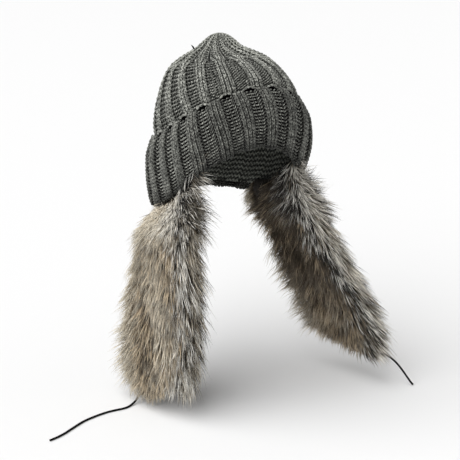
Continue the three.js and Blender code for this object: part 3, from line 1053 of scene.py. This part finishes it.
def hair_headings(flap, place, rng):
    """The directions in which the hairs grow: down the flap, fanned out at its edges and in waves."""
    root, s, t, share, forward, outward, down = place
    top = near_rim(share)
    back_fan = mix(0.65, 0.9, smooth(share, 0.3, 0.6))
    front_fan = mix(0.65, flap["front_fan"], smooth(share, 0.3, 0.7))
    fan = s**3 * np.where(s < 0, back_fan, front_fan) + s * mix(0.3, np.where(s < 0, 1.5, 0.45), top)
    lift = np.sign(t) * np.abs(t) ** 0.7 * mix(0.36, 0.8, top)
    heading = down * (1 - 0.5 * top)[:, None] + forward * fan[:, None] + outward * lift[:, None]
    sway, swell = ripple(root, rng, 20), ripple(root, rng, 20)
    swell = 0.2 * swell * np.sign(t) * (1 - 0.8 * top)
    heading = heading + forward * (0.4 * sway)[:, None] + outward * swell[:, None]
    return unit(heading + 0.18 * rng.standard_normal(heading.shape))


def tufted(root, tip, hair, rng):
    """The tips drawn to the middles of their tufts, and the hair at the middle of each one's tuft."""
    number = len(root)
    tufts = number // hair["tuft"]
    tree = kdtree.KDTree(tufts)
    centres = rng.choice(number, tufts, replace=False)
    for index, chosen in enumerate(centres):
        tree.insert(root[chosen], index)
    tree.balance()
    nearest = centres[np.array([tree.find(place)[1] for place in root])]
    pull = hair["pull"] * rng.random(number) ** 0.5
    return mix(tip, tip[nearest] + (root - root[nearest]) * 0.25, pull[:, None]), nearest


def hair_colours(flap, place, over_rim, nearest, rng):
    """The masks that colour the hairs, a value for each hair."""
    root, s, t, share = place[:4]
    number = len(s)
    waves = ripple(root, rng, 60)
    front = s + 0.07 * rng.standard_normal(number) + 0.07 * waves
    grizzled = np.exp(-(((front - STRIPE) / 0.19) ** 2))
    grizzled = np.maximum(grizzled, 0.65 * near_rim(share) * smooth(front, -0.1, 0.5))
    grizzled = np.maximum(grizzled, flap["fringe_grizzled"] * smooth(front, STRIPE, STRIPE + 0.12))
    grizzled = np.where(over_rim & (s > 0), 1.0, grizzled)
    cream = np.maximum(smooth(front, 0.9, 1.02), smooth(-front, 0.3, 0.75))
    cream = np.maximum(cream, 0.85 * (1 - smooth(share, 0.02, 0.2)) * smooth(t, -0.3, 0.3))
    cream = np.where(rng.random(number) < flap["fringe_dark"], 0.15 * cream, cream)
    like_tuft = rng.random(number) < 0.82
    tuft_tone = rng.random(number)[nearest]
    own_tone = rng.random(number)
    # Painted shade for the inner face, strongest in the upper part of the flap
    inner_face = smooth(-t, -0.2, 0.5) * (1 - smooth(np.abs(s), 0.8, 1))
    return {
        "grizzled": grizzled,
        "cream": np.maximum(cream, 0.2 + 0.55 * waves),
        "own": np.where(like_tuft, tuft_tone, own_tone),
        "shaded": inner_face * mix(1, 0.42, smooth(share, 0.35, 0.8)),
        "frost": flap["white"] + 0.24 * flap["frost"] * np.clip((front - STRIPE) / 0.14, -1, 1),
    }


def flap_fur(node, flap):
    """The pile of one flap: long guard hairs over short ones, in tufts, running down and outwards."""
    rng = np.random.default_rng(flap["seed"])
    rings, ring_s, ring_t = flap_rings(flap)
    for kind, hair in FUR.items():
        number = hair["count"]
        place = hair_places(rings, ring_s, ring_t, number, rng)
        root, s, t, share, forward, outward = place[:6]
        heading = hair_headings(flap, place, rng)
        shorter = 1 - 0.3 * smooth(share, 0.8, 1.0)
        length = hair["length"] * (0.72 + 0.5 * rng.random(number)) * shorter
        length = length * mix(0.86, 1.15, smooth(np.abs(s), 0.6, 1.0))
        tip = root + heading * length[:, None]
        over_share = np.where(s > 0.6, 0.16, 0.3 * (s < -0.1))
        over_rim = (t > 0.1) & (share < 0.02) & (rng.random(number) < over_share)
        stand = unit(outward * t[:, None] + forward * (s**3)[:, None])
        tip = tip + stand * (5 * rng.random(number))[:, None]
        tip, nearest = tufted(root, tip, hair, rng)
        tip[:, 2] = np.maximum(tip[:, 2], LOWEST_TIP + 3 * rng.random(number))
        out = unit(outward * t[:, None] + forward * s[:, None])
        bend = mix(root, tip, 0.45) + out * (0.17 * length)[:, None] + rng.standard_normal((number, 3)) * 1.3

        # Some hairs at the rim curl up over the cuff
        aside = 0.3 * np.sign(s) * length * rng.random(number)
        curl = root + outward * (0.72 * length)[:, None] + forward * aside[:, None]
        curl[:, 2] += length * (0.02 + 0.26 * rng.random(number))
        sag = root + outward * (0.55 * length)[:, None] - np.array([0, 0, 0.25]) * length[:, None]
        tip = np.where(over_rim[:, None], curl, tip)
        bend = np.where(over_rim[:, None], sag, bend)

        width = hair["width"] * (0.7 + 0.6 * rng.random(number))
        points, faces, pile, per = strands(root, bend, tip, width, out, hair["rings"])
        masks = {"pile": pile}
        for label, values in hair_colours(flap, place, over_rim, nearest, rng).items():
            masks[label] = np.repeat(values, per)
        mesh_piece(f"{node}_fur_{kind}", points, faces, FUR_PILE, node, masks)


for flap_node, flap_table in FLAPS.items():
    flap_fur(flap_node, flap_table)
    flap_hide(flap_node, flap_table)


# Floor, light and view
def studio():
    """A white floor, an even white surround and two soft lights."""
    mesh = bpy.data.meshes.new("floor")
    corners = [(x * FLOOR_REACH, y * FLOOR_REACH, 0) for x, y in ((-1, -1), (1, -1), (1, 1), (-1, 1))]
    mesh.from_pydata(corners, [], [(0, 1, 2, 3)])
    floor = new_object("floor", mesh)
    floor.location = (0, 0, FLOOR_HEIGHT)
    material, shader, _, _ = node_material("floor_white")
    shader.inputs["Base Color"].default_value = (0.85, 0.85, 0.85, 1)
    shader.inputs["Roughness"].default_value = 0.9
    mesh.materials.append(material)
    world = bpy.data.worlds.new("surround")
    world.use_nodes = True
    background = world.node_tree.nodes["Background"]
    background.inputs["Color"].default_value = (1, 1, 1, 1)
    background.inputs["Strength"].default_value = SURROUND
    bpy.context.scene.world = world
    for name, light in LIGHTS.items():
        lamp = bpy.data.lights.new(name, "SUN")
        lamp.angle = math.radians(light["angle"])
        lamp.energy = light["strength"]
        origin = Vector(light["from"])
        set_up(new_object(name, lamp), origin, origin)
    bpy.context.scene.view_settings.view_transform = "Standard"


studio()
